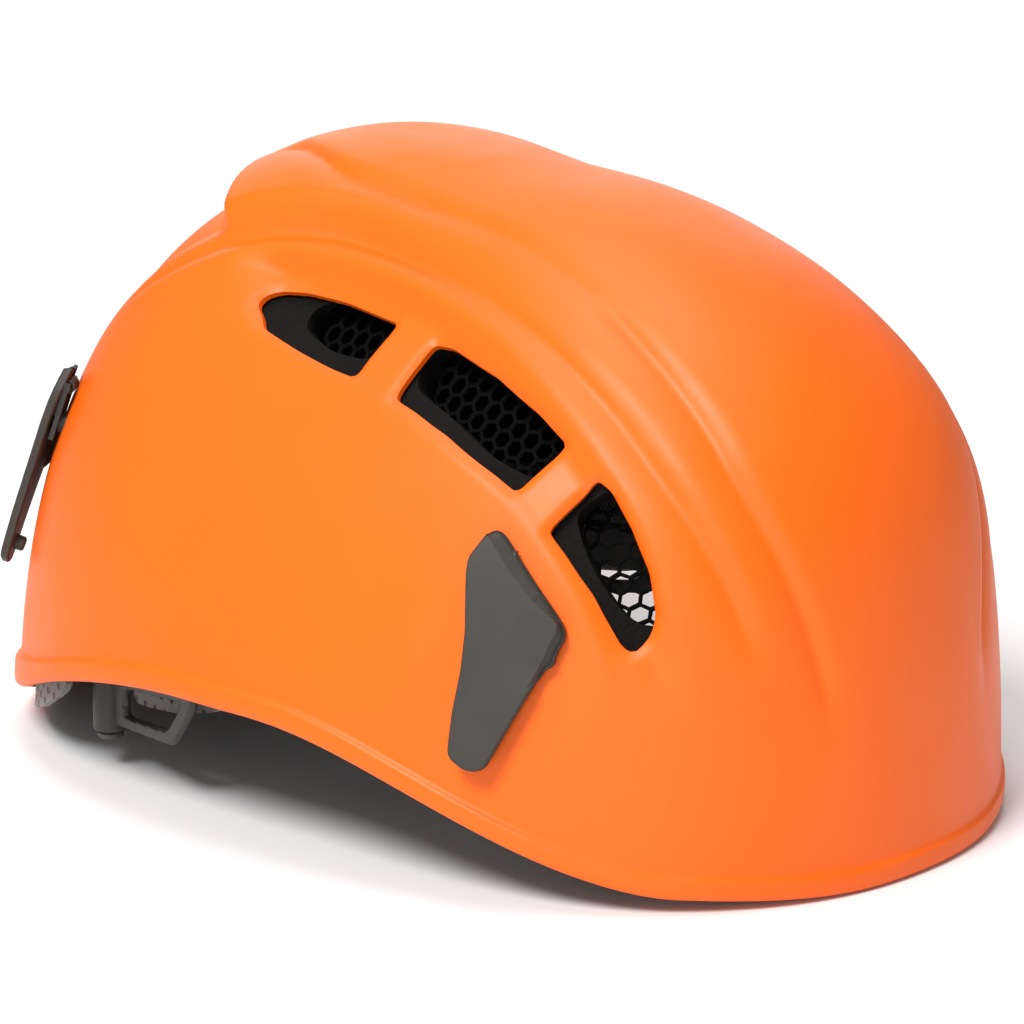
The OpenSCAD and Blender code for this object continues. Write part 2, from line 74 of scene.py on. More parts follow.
ROLL_H, ROLL_AT, ROLL_W = 1.3, 3.5, 3  # a soft roll along the rear of the ridge
CHANNEL_D, LIP_D = 3.0, 1.0  # depth of the vent channel, and the part of it at its lower lip
REAR_STEP, HUMP_H = 4, 3.3  # the step across the rear, and the hump ahead of it
CROWN_CUT, BROW_H = 3.6, 3.6  # how much lower the crown is than the dome, and how much fuller the brow
TURN_R = 0.4  # half the width over which a crease turns


def smooth(a, b, v):
    t = np.clip((v - a) / (b - a), 0, 1)
    return t * t * (3 - 2 * t)


def spow(v, e):
    return np.sign(v) * np.abs(v) ** e


def cosd(a):
    return np.cos(np.radians(a))


def sind(a):
    return np.sin(np.radians(a))


def from_front(th):
    """Plan angle from the front, the same on both sides."""
    return np.abs((th + 180) % 360 - 180)


def rim_z(th):
    """Height of the shell's edge: low at the front and rear, and arched over the ears."""
    u = from_front(th)
    front = RIM_STEP * smooth(8, 50, u)
    return (front + (RIM_ARCH - RIM_STEP) * smooth(37, 90, u)) * (1 - smooth(96, 167, u))


def profile_n(th):
    """Power of the upright profile at a plan angle, between those of the side and of an end."""
    w = cosd(th) ** 2
    return np.where(cosd(th) > 0, FRONT_N, REAR_N) * w + SIDE_N * (1 - w)


def dome(th, t):
    """Point of the plain dome at plan angle th and profile angle t."""
    cx, sy = spow(cosd(th), 2 / PLAN_N), spow(sind(th), 2 / PLAN_N)
    n = profile_n(th)
    r = np.abs(cosd(t)) ** (2 / n)
    x = MID_X + np.where(cosd(th) > 0, FRONT_LEN, REAR_LEN) * cx * r
    y = HALF_W * sy * r * (1 - TAPER * cx * r)
    z = BASE_Z + DOME_H * np.abs(sind(t)) ** (2 / n)
    return np.stack([x, y, z], -1)


def t_at_z(th, z):
    ratio = np.clip((z - BASE_Z) / DOME_H, 0, 1)
    return np.degrees(np.arcsin(ratio ** (profile_n(th) / 2)))


def dome_normal(th, t, nudge=0.2):
    a = dome(th + nudge, t) - dome(th - nudge, t)
    b = dome(th, t + nudge) - dome(th, t - nudge)
    n = np.cross(a, b)
    return n / np.linalg.norm(n, axis=-1, keepdims=True)


def panel_edge(xi):
    """Half width of the raised middle panel at angle xi over the helmet, from the rear to the front."""
    return 12 + 17.5 * smooth(-41, -17, xi) + 12.3 * smooth(-14, 56, xi) - 11.5 * smooth(64, 100, xi)


def ridge_edge(xi):
    """Where the strip beside the panel meets the ridge over the vents."""
    return 50.5 - 7.5 * smooth(-50, -12, xi) + 11 * smooth(-14, 52, xi) - 8 * smooth(58, 98, xi)


def wall_edge(xi):
    """Where the ridge drops into the channel that holds the vents."""
    return 46.5 + 11.5 * smooth(-15, 65, xi)


def channel_edge(xi):
    """The lower lip of the channel."""
    return 73.5 - 0.0012 * (xi - 55) ** 2


def crease(d, dive, rise, outer, inner):
    """Profile across a crease at d = 0: a dive that steepens from d > 0, a sharp turn, and a rise to
    d < 0 that eases off. An average of three profiles rounds the turn."""
    total = 0
    for shift in (-TURN_R, 0.0, TURN_R):
        away = np.clip(1 - (d + shift) / outer, 0, 1) ** 2
        back = 1 - np.clip(1 + (d + shift) / inner, 0, 1) ** 2
        total = total + np.where(d + shift > 0, -dive * away, -dive + (dive + rise) * back)
    return total / 3


def relief(p):
    """Height of the shell's panels, ridges and vent channels over the plain dome."""
    x, ay, z = p[..., 0] - MID_X, np.abs(p[..., 1]), p[..., 2]
    xi = np.degrees(np.arctan2(x, z - BASE_Z - PIVOT_H))
    off_ridge = ay - ridge_edge(xi)
    panels = crease(ay - panel_edge(xi), *PANEL_CREASE) * smooth(-42, -33, xi)
    panels *= (1 - 0.55 * smooth(-5, 5, xi) * (1 - smooth(30, 45, xi))) * (1 - smooth(88, 101, xi))
    ridges = crease(off_ridge, *RIDGE_CREASE) * smooth(-62, -48, xi) * (1 - smooth(80, 91, xi))
    roll = ROLL_H * np.exp(-((off_ridge - ROLL_AT) / ROLL_W) ** 2)
    ridges += roll * smooth(-66, -46, xi) * (1 - smooth(-5, 30, xi))
    off_lip = ay - channel_edge(xi)
    floor = CHANNEL_D * (1 - smooth(-14, 0.5, off_lip)) + LIP_D * (1 - smooth(-2.5, 0.5, off_lip))
    channel = -floor * smooth(1, 8, ay - wall_edge(xi)) * smooth(-36, -24, xi) * (1 - smooth(82, 98, xi))
    inside = (1 - smooth(-9, -1, off_ridge)) * smooth(-75, -62, xi)
    back = x - (-82 + 25 * (ay / 52) ** 2)
    step = smooth(-2, 5, back)
    hump = HUMP_H * smooth(0, 5, back) * (1 - smooth(-20, 70, x))
    front = 1 - smooth(-30, 20, x)
    flat = CROWN_CUT * smooth(103, 155, z) * smooth(-63, -11, x)
    brow = BROW_H * np.exp(-((x - 112) / 28) ** 2 - ((z - 95) / 35) ** 2)
    stepped = front * (-REAR_STEP / 2 + REAR_STEP * step) + hump
    return panels + ridges + channel + inside * stepped - flat + brow


def skin(th, t, off=0.0):
    """Point of the shell's outer face, or of one that lies off it."""
    p = dome(th, t)
    return p + dome_normal(th, t) * (relief(p) + off)[..., None]


def plain(th, t, off):
    """Point at a distance off the plain dome."""
    return dome(th, t) + dome_normal(th, t) * np.asarray(off)[..., None]


def to_side_view(surface, th, t, target, rounds=5, nudge=0.1, longest=3):
    """Plan and profile angles at which surface(th, t) shows at target in the side view (x, z)."""
    for _ in range(rounds):
        here = surface(th, t)[:, ::2]
        along_th = (surface(th + nudge, t)[:, ::2] - here) / nudge
        along_t = (surface(th, t + nudge)[:, ::2] - here) / nudge
        slopes = np.stack([along_th, along_t], -1)
        move = np.linalg.solve(slopes, (target - here)[..., None])[..., 0]
        move = np.clip(move, -longest, longest)
        th, t = th + move[:, 0], np.clip(t + move[:, 1], 0.5, 89.5)
    return th, t


# ---------------------------------------------------------------- outlines
def rounded(outline, radius, steps=6):
    """The outline with each corner turned into a curve that starts up to radius before it."""
    pts = np.array(outline, float)
    out = []
    for k, corner in enumerate(pts):
        before, after = pts[k - 1] - corner, pts[(k + 1) % len(pts)] - corner
        r0 = min(radius, 0.48 * np.linalg.norm(before))
        r1 = min(radius, 0.48 * np.linalg.norm(after))
        start = corner + before / np.linalg.norm(before) * r0
        end = corner + after / np.linalg.norm(after) * r1
        out += [(1 - s) ** 2 * start + 2 * s * (1 - s) * corner + s * s * end
                for s in np.linspace(0, 1, steps)]
    return np.array(out)


def outline_distance(pts, outline, closed=True):
    """Signed distance of points to an outline, negative inside, and the nearest outline points."""
    a = outline if closed else outline[:-1]
    b = np.roll(outline, -1, 0) if closed else outline[1:]
    best, near = np.full(len(pts), 1e9), np.zeros((len(pts), 2))
    inside = np.zeros(len(pts), bool)
    for p, q in zip(a, b):
        pq = q - p
        s = np.clip((pts - p) @ pq / max(pq @ pq, 1e-12), 0, 1)
        foot = p + s[:, None] * pq
        d = np.linalg.norm(pts - foot, axis=1)
        closer = d < best
        best, near = np.where(closer, d, best), np.where(closer[:, None], foot, near)
        if closed:
            spans = (p[1] > pts[:, 1]) != (q[1] > pts[:, 1])
            rise = pq[1] or 1.0  # a level edge spans no point
            inside ^= spans & (pts[:, 0] < p[0] + (pts[:, 1] - p[1]) * pq[0] / rise)
    return np.where(inside, -best, best), near


def nearest_of(pts, outlines):
    """Signed distance to the nearest of several closed outlines, and the nearest outline points."""
    d, near = outline_distance(pts, outlines[0])
    for outline in outlines[1:]:
        d2, near2 = outline_distance(pts, outline)
        closer = d2 < d
        d, near = np.where(closer, d2, d), np.where(closer[:, None], near2, near)
    return d, near


def crossing_ends(d, tris, locked=None):
    """Vertices to move onto the line d = 0, so that no triangle edge crosses it."""
    edges = np.concatenate([tris[:, [0, 1]], tris[:, [1, 2]], tris[:, [2, 0]]])
    a, b = edges[:, 0], edges[:, 1]
    cross = d[a] * d[b] < 0
    a, b = a[cross], b[cross]
    share = d[a] / (d[a] - d[b])
    if locked is not None:
        share = np.where(locked[a], 1.0, np.where(locked[b], 0.0, share))
    return np.unique(np.where(share < 0.5, a, b))


# ---------------------------------------------------------------- meshes
SHARP = 35


def build(name, verts, faces, sharp=SHARP, mirrored=False):
    """A smooth-shaded object from vertices in millimetres, with edges over the sharp angle kept."""
    verts = np.asarray(verts, float) * MM
    if mirrored:
        verts = verts * [1, -1, 1]
        faces = [tuple(reversed(f)) for f in faces]
    mesh = bpy.data.meshes.new(name)
    mesh.from_pydata(verts.tolist(), [], [tuple(int(i) for i in f) for f in faces])
    mesh.validate()
    mesh.polygons.foreach_set("use_smooth", [True] * len(mesh.polygons))
    mesh.set_sharp_from_angle(angle=math.radians(sharp))
    obj = bpy.data.objects.new(name, mesh)
    bpy.context.scene.collection.objects.link(obj)
    return obj


def solid(outer, inner, faces):
    """Vertices and faces of the closed wall between two surfaces that share their faces."""
    n = len(outer)
    faces = [tuple(f) for f in faces]
    ends = {(f[k - 1], f[k]) for f in faces for k in range(len(f))}
    walls = [(b, a, a + n, b + n) for a, b in ends if (b, a) not in ends]
    back = [tuple(i + n for i in reversed(f)) for f in faces]
    every = faces + back + sorted(walls)
    used = np.unique(np.concatenate([np.array(f) for f in every]))
    index = np.full(2 * n, -1)
    index[used] = np.arange(len(used))
    verts = np.concatenate([outer, inner])[used]
    return verts, [tuple(index[list(f)]) for f in every]


def joined(*parts):
    """One vertex and face list from several."""
    verts, faces, n = [], [], 0
    for v, f in parts:
        verts.append(np.asarray(v, float))
        faces += [tuple(i + n for i in face) for face in f]
        n += len(v)
    return np.concatenate(verts), faces


def ring_quads(rows, columns):
    """Quads of a grid that closes round its columns, wound so that they face outwards."""
    i, j = np.meshgrid(np.arange(columns), np.arange(rows - 1))
    k = (i + 1) % columns
    quads = [j * columns + i, j * columns + k, (j + 1) * columns + k, (j + 1) * columns + i]
    return np.stack(quads, -1).reshape(-1, 4)


def split_quads(quads):
    """Two triangles from each quad."""
    return np.concatenate([quads[:, [0, 1, 2]], quads[:, [0, 2, 3]]])


# ---------------------------------------------------------------- the shell and the liner
# The shell's vents and the liner's windows behind them, as (x, z) in the side view, front ones last.
VENTS = [
    [(-34, 124), (-34, 126), (-31, 127), (-24, 127.5), (-11, 127), (8, 125), (8, 114), (0, 115), (-12, 117),
     (-27, 120)],
    [(22, 122.5), (28, 122.5), (44.5, 118.5), (60, 112.5), (70, 107), (63.5, 96), (56.5, 99.5), (41, 106),
     (30, 109.5), (22, 111.5)],
    [(80, 100.5), (84.5, 98.5), (91.5, 90.5), (97.5, 81), (100, 71.5), (99.5, 66.5), (97.5, 62), (95, 63.5),
     (87, 75), (79, 83.5), (73.5, 88.5)]]
WINDOWS = [
    [(-21, 119), (-16, 121.5), (0, 122), (6, 120), (6, 110.5), (-6, 110.5), (-19, 114)],
    [(20, 116), (28, 118), (46, 113.5), (60, 107.5), (66, 102), (62, 93), (50, 96.5), (36, 103), (22, 107.5)],
    [(71, 88), (80, 95.5), (90, 88), (95, 78), (98, 68), (94, 64.5), (88, 64.5), (82, 71), (76, 79)]]
AZIMUTHS = 600  # columns of both grids
SHELL_ROWS, LINER_ROWS = 170, 150  # rows above those that stay level with the edge
SIDE_Y, SIDE_Z = 35, 50  # outlines are cut where the surface lies further out and higher
FAR = 99.0  # a distance from an edge at which nothing turns in


def cut_grid(surface, th, t, outlines):
    """Faces of a grid of plan and profile angles with the side-view outlines cut out of both sides.
    Returns the moved angles, the faces and each vertex's distance from the nearest outline."""
    rows, columns = th.shape
    quads = ring_quads(rows, columns)
    th, t = th.reshape(-1), t.reshape(-1)
    p = surface(th, t)
    d = np.full(len(th), FAR)
    side = (np.abs(p[:, 1]) > SIDE_Y) & (p[:, 2] > SIDE_Z)
    d[side] = nearest_of(p[side][:, ::2], outlines)[0]
    close = d[quads].min(1) < 4
    tris = split_quads(quads[close])
    ends = crossing_ends(d, tris)
    target = nearest_of(p[ends][:, ::2], outlines)[1]
    th[ends], t[ends] = to_side_view(surface, th[ends], t[ends], target)
    d[ends] = 0
    low, high = d[tris].min(1), d[tris].max(1)
    mid = surface(th, t)[tris].mean(1)
    flat = (low == 0) & (high == 0)
    inside = (low < 0) | (flat & (nearest_of(mid[:, ::2], outlines)[0] < 0))
    faces = quads[~close].tolist() + tris[~inside].tolist()
    return th, t, faces, np.maximum(d, 0)


def with_crown(outer, inner, faces):
    """Closes the top row of both surfaces with a fan to one point on the middle plane."""
    first = len(outer) - AZIMUTHS
    faces = faces + [(first + i, first + (i + 1) % AZIMUTHS, len(outer)) for i in range(AZIMUTHS)]
    outer = np.concatenate([outer, outer[first:].mean(0, keepdims=True)])
    inner = np.concatenate([inner, inner[first:].mean(0, keepdims=True)])
    return outer, inner, faces


def angle_grid(edge_z, heights, rows, power=1.25):
    """Plan and profile angles of rows at given heights over an edge, then of rows up to the crown."""
    th = np.arange(AZIMUTHS) * 360 / AZIMUTHS
    low = [t_at_z(th, edge_z(th) + h) for h in heights]
    s = np.linspace(0, 1, rows + 1)[1:-1, None]
    high = 90 - (90 - low[-1]) * (1 - s) ** power
    t = np.concatenate([np.array(low), high])
    return np.broadcast_to(th, t.shape).copy(), t


# Heights over the edge at which the grid has rows, and the rim band's profile: height, share of the
# distance it stands out.
RIM_HEIGHTS = [0, 0.3, 0.7, 1.2, 1.9, 2.8, 3.8, 4.6, 5.1, 5.5, 5.9, 6.3, 6.9, 7.8, 9, 10.2, 11.3, 12.2,
               13, 13.8, 14.6, 15.6, 17]
RIM_SHAPE = [(0, -0.35), (0.3, 0.3), (0.7, 0.68), (1.3, 0.93), (2.2, 1.0), (4.6, 0.97), (5.2, 0.88),
             (5.7, 0.5), (6.1, 0.06), (6.8, 0.0)]
RIM_OUT, RIM_DEEPER, RIM_TALLER = 1.2, 0.8, 1.3  # the last two are added at the rear


def rim_offset(th, t):
    """How far the rim band stands out: a slim band at the sides, taller and deeper at the rear."""
    rear = smooth(120, 160, from_front(th))
    h = (BASE_Z + DOME_H * sind(t) ** (2 / profile_n(th)) - rim_z(th)) / (1 + RIM_TALLER * rear)
    return (RIM_OUT + RIM_DEEPER * rear) * np.interp(h, *zip(*RIM_SHAPE))


def rolled(d, height, width):
    """How far a surface has turned in at distance d from its edge."""
    return height * np.clip(1 - d / width, 0, 1) ** 2


def make_shell():
    th, t = angle_grid(rim_z, RIM_HEIGHTS, SHELL_ROWS)
    th, t, faces, d = cut_grid(skin, th, t, [rounded(vent, 1.5) for vent in VENTS])
    outer = skin(th, t, rim_offset(th, t) - rolled(d, 1.1, 2.4))
    inner = skin(th, t, -WALL + rolled(d, 0.4, 2))
    return solid(*with_crown(outer, inner, faces))


LINER_GAP, LINER_DEPTH = 0.6, 15.0  # under the shell's inner face, and under the plain dome
LINER_HEIGHTS = [0, 0.4, 1.0, 1.8, 2.8, 4.0, 5.4]
RIB_D, RIB_HALF, RIB_AT = 3.0, 5.0, (22.0, 52.0)


def liner_edge(th):
    """Height of the liner's edge: higher than the rim at the brow, and well up the rear."""
    u = from_front(th)
    front = 16 * (1 - smooth(25, 60, u)) - 0.7 * smooth(25, 60, u)
    return rim_z(th) + front + 18 * smooth(97, 115, u) + 32 * smooth(130, 155, u)


def make_liner():
    th, t = angle_grid(liner_edge, LINER_HEIGHTS, LINER_ROWS)
    up = np.repeat(LINER_HEIGHTS + [FAR] * (len(th) - len(LINER_HEIGHTS)), AZIMUTHS)
    outlines = [rounded(window, 3.5) for window in WINDOWS]
    th, t, faces, d = cut_grid(lambda a, b: plain(a, b, -LINER_DEPTH + 0 * a), th, t, outlines)
    outer = skin(th, t, -WALL - LINER_GAP - rolled(up, 3.0, 4.0))
    inner = plain(th, t, -LINER_DEPTH + rolled(up, 4.0, 4.0) + rolled(d, 2.0, 3) + ribs(th, t))
    return solid(*with_crown(outer, inner, faces))


def ribs(th, t):
    """Shallow air channels that run from front to rear on the liner's inner face."""
    p = dome(th, t)
    ay, up = np.abs(p[..., 1]), smooth(95, 120, p[..., 2])
    lanes = sum(np.clip(1 - ((ay - at) / RIB_HALF) ** 4, 0, 1) for at in RIB_AT)
    return RIB_D * lanes * up * (1 - smooth(78, 96, np.abs(p[..., 0])))


# ---------------------------------------------------------------- plates cut from an outline
def plate_grid(outline, pitch, holes=(), creases=()):
    """Triangles that fill a flat outline with holes, with their vertices moved onto its edges and
    onto open crease lines. Returns points, triangles and the distance inside the nearest edge."""
    low, high = outline.min(0) - pitch, outline.max(0) + pitch
    u = np.arange(low[0], high[0] + pitch, pitch)
    v = np.arange(low[1], high[1] + pitch, pitch)
    pts = np.stack(np.meshgrid(u, v), -1).reshape(-1, 2)
    i, j = np.meshgrid(np.arange(len(u) - 1), np.arange(len(v) - 1))
    a = (j * len(u) + i).reshape(-1)
    tris = split_quads(np.stack([a, a + 1, a + len(u) + 1, a + len(u)], -1))
    locked = np.zeros(len(pts), bool)

    def edge_distance(points):
        d, near = outline_distance(points, outline)
        for hole in holes:
            d2, near2 = outline_distance(points, hole)
            d, near = np.where(-d2 > d, -d2, d), np.where((-d2 > d)[:, None], near2, near)
        return d, near

    d, near = edge_distance(pts)
    ends = crossing_ends(d, tris)
    pts[ends], d[ends], locked[ends] = near[ends], 0, True
    low, high = d[tris].min(1), d[tris].max(1)
    mid = edge_distance(pts[tris].mean(1))[0]
    tris = tris[(high <= 0) & ((low < 0) | (mid < 0))]
    for line in creases:
        side, near = line_side(pts, np.array(line, float))
        ends = crossing_ends(side, tris, locked)
        ends = ends[~locked[ends] & (np.abs(side[ends]) < pitch)]
        pts[ends], locked[ends] = near[ends], True
    return pts, tris, np.maximum(-edge_distance(pts)[0], 0)


def line_side(pts, line):
    """Distance from an open line, positive on its right-hand side, and the nearest line points."""
    d, near = outline_distance(pts, line, closed=False)
    k = np.zeros(len(pts), int)
    best = np.full(len(pts), 1e9)
    for n, (p, q) in enumerate(zip(line[:-1], line[1:])):
        s = np.clip((pts - p) @ (q - p) / ((q - p) @ (q - p)), 0, 1)
        gap = np.linalg.norm(pts - p - s[:, None] * (q - p), axis=1)
        k, best = np.where(gap < best, n, k), np.minimum(gap, best)
    way = line[k + 1] - line[k]
    off = pts - line[k]
    return np.where(way[:, 0] * off[:, 1] - way[:, 1] * off[:, 0] < 0, d, -d), near


def edge_drop(d, radius):
    """How much lower a rounded edge lies at distance d inside it."""
    return radius - np.sqrt(np.maximum(radius ** 2 - np.maximum(radius - d, 0) ** 2, 0))


def plate(outline, thickness, radius, holes=(), pitch=0.6, low=0.0):
    """A flat plate with rounded edges, lying from low to low + thickness along its normal."""
    pts, tris, d = plate_grid(outline, pitch, holes)
    drop = edge_drop(d, radius)
    top = np.column_stack([pts, low + thickness - drop])
    base = np.column_stack([pts, low + drop])
    return solid(top, base, tris.tolist())


LATHE_STEPS = 48
CENTRE = 0.01  # the radius that closes a turned solid, since a ring can't shrink to a point


def lathe(profile):
    """A solid turned about z from (radius, height) points."""
    a = np.arange(LATHE_STEPS) * 2 * np.pi / LATHE_STEPS
    rings = [np.column_stack([r * np.cos(a), r * np.sin(a), np.full(LATHE_STEPS, h)])
             for r, h in np.array(profile, float)]
    return np.concatenate(rings), ring_quads(len(profile), LATHE_STEPS).tolist()


def tube(bore, outer, low, high, lip):
    """A sleeve about z with rounded mouths."""
    profile = [(outer, low + lip), (outer, high - lip), (outer - 0.3 * lip, high - 0.3 * lip),
               (outer - lip, high), (bore + 0.3, high), (bore, high - 0.3), (bore, low + 0.3),
               (bore + 0.3, low), (outer - lip, low), (outer - 0.3 * lip, low + 0.3 * lip),
               (outer, low + lip)]
    return lathe(profile)


def turn(axis, degrees):
    """Matrix of a turn about an axis."""
    return np.array(Matrix.Rotation(math.radians(degrees), 3, axis))


def placed(part, place, spin=None):
    """A part turned by a matrix and moved."""
    verts, faces = part
    verts = np.asarray(verts) @ (np.eye(3) if spin is None else spin).T + np.array(place)
    return verts, faces


# ---------------------------------------------------------------- strips and pads on the dome
def station_grid(stations, steps, layers, curve):
    """Plan angles and dome heights of a strip between [plan angle, low, high] stations. Below a
    curve of 1, its ends are rounded in by a superellipse."""
    at, low, high = np.array(stations, float).T
    s = np.linspace(0, 1, steps + 1)
    th = at[0] + (at[-1] - at[0]) * s
    z0, z1 = np.interp(th, at, low), np.interp(th, at, high)
    middle, half = (z0 + z1) / 2, (z1 - z0) / 2
    if curve < 1:
        power = 2 / (1 - curve)
        half = half * np.maximum(1 - np.abs(2 * s - 1) ** power, 0.02) ** (1 / power)
    v = np.linspace(-1, 1, layers + 1)
    return np.broadcast_to(th[:, None], (steps + 1, layers + 1)), middle[:, None] + half[:, None] * v


def sheet_faces(rows, columns):
    """Quads of an open grid."""
    i, j = np.meshgrid(np.arange(columns - 1), np.arange(rows - 1))
    a = (j * columns + i).reshape(-1)
    return np.stack([a, a + 1, a + columns + 1, a + columns], -1)


def dome_strip(stations, d0, d1, steps=60, layers=6, curve=1.0, crown=0.0):
    """A strip that follows the dome between two depths. A crown swells its inner face like a pad."""
    th, z = station_grid(stations, steps, layers, curve)
    t = t_at_z(th, z)
    u = np.linspace(-1, 1, steps + 1)[:, None]
    v = np.linspace(-1, 1, layers + 1)[None, :]
    swell = ((1 - u ** 8) * (1 - v ** 4)) ** 0.5 if crown else np.ones_like(th)
    depth = d0 + (d1 - d0) * (1 - crown + crown * swell)
    outer = plain(th.reshape(-1), t.reshape(-1), np.full(th.size, -d0, float))
    inner = plain(th.reshape(-1), t.reshape(-1), -depth.reshape(-1))
    return solid(outer, inner, sheet_faces(steps + 1, layers + 1)[:, ::-1].tolist())


def rounded_edges(obj, width):
    """Rounds a piece's sharp edges with a modifier, which leaves its own mesh as it is."""
    bevel = obj.modifiers.new("Bevel", "BEVEL")
    bevel.width, bevel.segments = width * MM, 3
    bevel.limit_method, bevel.angle_limit = "ANGLE", math.radians(32)
    bevel.harden_normals = False
    obj.data.polygons.foreach_set("use_smooth", [True] * len(obj.data.polygons))
    obj.data.set_sharp_from_angle(angle=math.radians(SHARP))
    return obj


def refined(node, width):
    """A copy of a CAD node's solid with clean faces and rounded edges, which stands for the node."""
    mesh = frame["nodes"][node].data.copy()
    clean = bmesh.new()
    clean.from_mesh(mesh)
    bmesh.ops.remove_doubles(clean, verts=clean.verts, dist=2e-6)
    bmesh.ops.dissolve_limit(clean, angle_limit=math.radians(0.4), verts=clean.verts, edges=clean.edges)
    clean.to_mesh(mesh)
    clean.free()
    fresh = bpy.data.meshes.new(node + "_part")
    fresh.from_pydata([v.co[:] for v in mesh.vertices], [], [p.vertices[:] for p in mesh.polygons])
    bpy.data.meshes.remove(mesh)
    obj = bpy.data.objects.new(node + "_part", fresh)
    bpy.context.scene.collection.objects.link(obj)
    return rounded_edges(obj, width)


# ---------------------------------------------------------------- the headlamp clips
CLIP_OUTLINE = [(-2, 29), (0, 30), (2, 29), (10, 19.3), (17, 11.2), (19, 8.5), (19.3, 6), (17.6, 2.4),
                (17, -0.8), (15.2, -1.6), (9, -13.8), (3, -26), (1, -27.3), (-2.3, -27.2),
                (-5.8, -25), (-6.6, -23.2), (-6.2, -13.8), (-5, -4), (-4.8, 5.4), (-5.6, 15),
                (-6, 19.5), (-5.8, 23)]
CLIP_BEVEL = [(-1, 27.8), (4.8, 20.5), (11.8, 13.5), (16.2, 10.6), (17.6, 9.3), (17.4, 7), (16.2, 4.9),
              (15, 1.2), (12.6, -4.4)]
CLIP_FOLD = [(10.2, 12.6), (3.7, 3.8), (1, -2.4), (0.2, -8)]
CLIP_LIFT, CLIP_T, CLIP_PITCH = 4.2, 2.4, 0.55
FACET_D, FOLD_SLOPE = 2.3, 0.055
CLIPS = {"front": ((67, -84, 59), -66, 15.8, 1),  # centre, azimuth, elevation, and -1 to flip it
         "rear": ((-103, -65, 68), -145, 18, -1)}


def clip_plate():
    """The clip's plate in its own plane: u to the front, v up, and a facet along its upper front."""
    outline = rounded(CLIP_OUTLINE, 1.2, 4)
    pts, tris, d = plate_grid(outline, CLIP_PITCH, creases=[CLIP_BEVEL, CLIP_FOLD])
    side, _ = line_side(pts, np.array(CLIP_BEVEL, float))
    share = np.abs(side) / (np.abs(side) + d + 1e-6)
    facet = np.where(side < -1e-6, FACET_D * share, 0) * smooth(-7.5, -2, pts[:, 1])
    fold, _ = line_side(pts, np.array(CLIP_FOLD, float))
    ahead = np.maximum(-fold, 0) * smooth(-9, 0, pts[:, 1]) * (1 - smooth(13, 22, pts[:, 1]))
    bow = 1.5 * np.clip((pts[:, 1] - 10) / 20, 0, 1) ** 2 + 0.8 * np.clip(-pts[:, 1] / 27, 0, 1) ** 2
    height = CLIP_LIFT - bow
    top = height + CLIP_T - facet - FOLD_SLOPE * ahead - edge_drop(d, 0.6)
    base = height + edge_drop(d, 0.4)
    return solid(np.column_stack([pts, top]), np.column_stack([pts, base]), tris.tolist())


def clip_part():
    """A whole clip: the plate, its knuckle round the hinge pin, and the stub that a strap rests on."""
    knuckle = placed(tube(1.25, 2.0, -3.0, 3.0, 0.3), (0.5, 24, 2.9), turn("Y", 90))
    outline = rounded([(-2.5, 22.2), (3.5, 22.2), (3.5, 25.8), (-2.5, 25.8)], 0.5, 3)
    web = placed(plate(outline, 1.4, 0.2, pitch=0.9), (0, 0, 3.0))
    stub = placed(lathe([(CENTRE, 0), (1.5, 0), (2, 0.5), (2, 4.0), (CENTRE, 4.0)]), (-1.5, -21, 1))
    return joined(clip_plate(), knuckle, web, stub)


def in_clip_plane(part, centre, azimuth, elevation, flip):
    """A clip's part moved from its own plane to where it sits on the helmet."""
    verts, faces = part
    if flip < 0:
        verts, faces = verts * [-1, 1, 1], [tuple(reversed(f)) for f in faces]
    spin = turn("Z", azimuth) @ turn("Y", 90 - elevation) @ turn("Z", 90)
    return placed((verts, faces), centre, spin)


# ---------------------------------------------------------------- honeycomb net behind the vents
NET_PATH = [(-27, 116), (-16, 116.5), (-4, 116.5), (6, 115.5), (16, 114), (26, 111.6), (36, 108.6),
            (48, 104.5), (58, 100), (66, 94.5), (73, 88), (80, 80.5), (86, 74), (91, 67), (95, 59)]
NET_PITCH, NET_CORD, NET_HALF = 4.5, 0.95, 12.0
NET_DEPTH, NET_T = 16.1, 0.8
HEX_LONG, HEX_TALL, NET_SQUEEZE = 0.92, 1.05, 0.86  # shape of a mesh, and of the net across its path
WAY_STEP = 4  # half the distance over which the path's direction is taken


def along_path(path, s, w):
    """Point at distance s along a path in a plane, and w to its left."""
    path = np.array(path, float)
    leg = np.linalg.norm(np.diff(path, axis=0), axis=1)
    at = np.concatenate([[0], np.cumsum(leg)])
    here = np.column_stack([np.interp(s, at, path[:, k]) for k in (0, 1)])
    ahead = np.column_stack([np.interp(s + WAY_STEP, at, path[:, k]) for k in (0, 1)])
    behind = np.column_stack([np.interp(s - WAY_STEP, at, path[:, k]) for k in (0, 1)])
    way = ahead - behind
    way /= np.linalg.norm(way, axis=1, keepdims=True)
    return here + np.column_stack([-way[:, 1], way[:, 0]]) * w[:, None]


